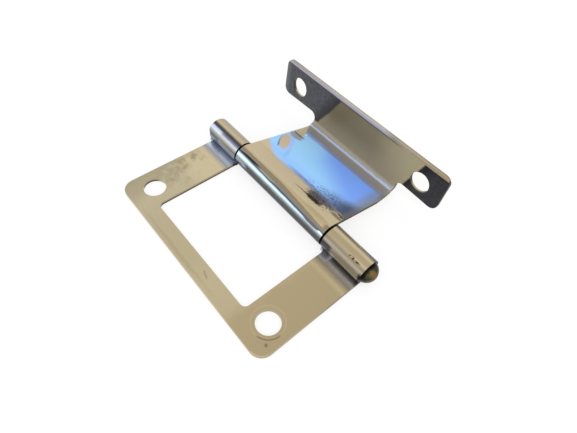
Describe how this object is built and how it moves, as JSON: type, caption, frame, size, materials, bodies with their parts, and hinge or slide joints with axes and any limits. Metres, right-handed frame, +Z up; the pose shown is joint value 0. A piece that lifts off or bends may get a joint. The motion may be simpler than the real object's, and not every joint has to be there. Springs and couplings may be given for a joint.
{
  "type": "flap hinge",
  "caption": "Pressed sheet-metal flap hinge: a flat window leaf and a cranked leaf with an upturned flange, joined by a riveted pin with a domed head.",
  "frame": {"origin": "midway between the window leaf's two screw holes, on that leaf's flat underside", "axes": "+Y along the pin, from its domed head to its peened end; +X from the window leaf towards the cranked leaf; +Z up out of the window leaf"},
  "size_m": [0.0512, 0.0546, 0.0129],
  "materials": {
    "leaf_steel": "bright plated steel",
    "pin_metal": "dark bronzed"
  },
  "bodies": {
    "window_leaf": {"frame_leaf": "leaf_steel", "hinge_pin": "pin_metal"},
    "flap_leaf": {"cranked_leaf": "leaf_steel"}
  },
  "joints": [
    {"name": "leaf_swing", "type": "hinge", "parent": "window_leaf", "child": "flap_leaf", "pos_m": [0.0211, 0, 0.00283], "axis": [0, 1, 0], "range_deg": [-159, 164]}
  ]
}
